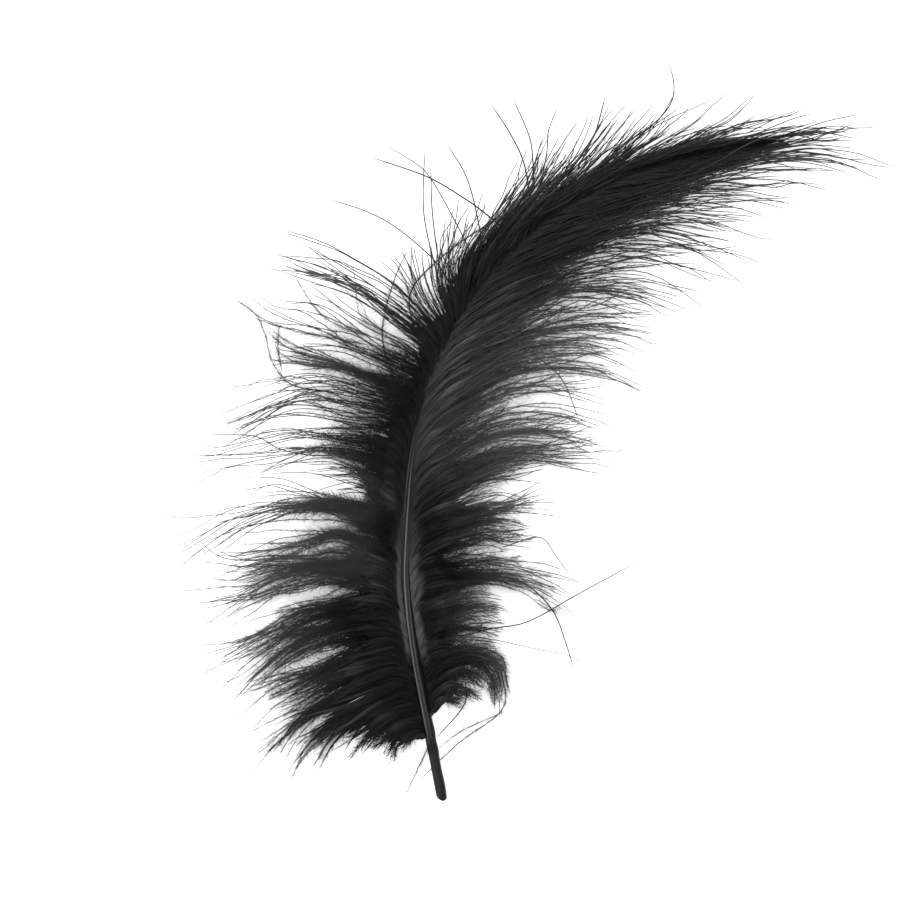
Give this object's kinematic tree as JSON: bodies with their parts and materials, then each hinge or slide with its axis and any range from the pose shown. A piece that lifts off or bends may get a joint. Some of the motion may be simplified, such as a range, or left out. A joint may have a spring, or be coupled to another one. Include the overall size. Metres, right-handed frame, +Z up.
{
  "type": "marabou feather",
  "caption": "Soft black plume lying flat: a bare quill end, a thin shaft that curves to one side, and loose fluffy locks of down along both sides.",
  "frame": {"origin": "on the surface the feather lies on, below the middle of its bounding box", "axes": "+Z up from the surface, -Y towards the quill's cut end, +X towards the side that the feather's tip curves to"},
  "size_m": [0.1141, 0.118, 0.0093],
  "materials": {
    "down": "matte",
    "quill": "satin"
  },
  "bodies": {
    "root": {"feather": "down"}
  },
  "joints": []
}
